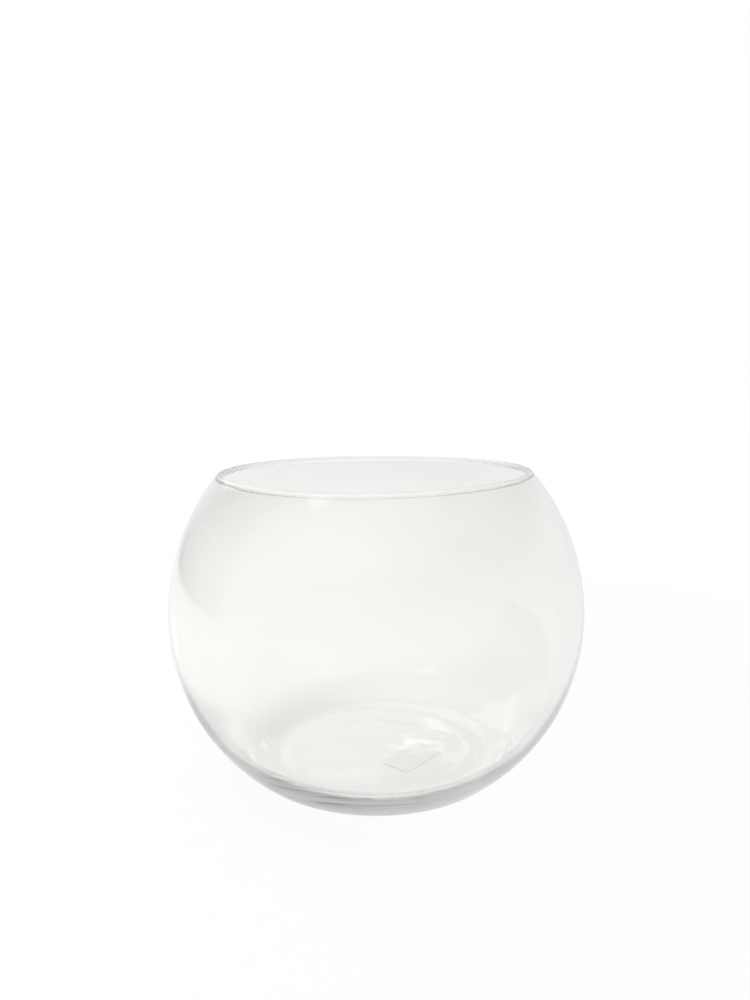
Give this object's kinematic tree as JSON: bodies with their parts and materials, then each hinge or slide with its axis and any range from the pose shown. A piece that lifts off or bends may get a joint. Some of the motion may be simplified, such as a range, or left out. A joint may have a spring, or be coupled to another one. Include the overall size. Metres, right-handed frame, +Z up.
{
  "type": "rose bowl vase",
  "caption": "Clear glass rose bowl: near-spherical vase with a wide round mouth, thin wall, fire-polished lip and a heavy flat base that carries a blank label underneath.",
  "frame": {"origin": "middle of the foot, on the surface that the bowl stands on", "axes": "+Z up along the bowl's axis, out of the mouth; -Y towards the picture's camera, +X to its right"},
  "size_m": [0.152, 0.152, 0.1135],
  "materials": {
    "clear_glass": "fire-polished, clear and colourless",
    "label_film": "blank pale film, matt"
  },
  "bodies": {
    "root": {"glass_bowl": "clear_glass", "base_label": "label_film"}
  },
  "joints": []
}
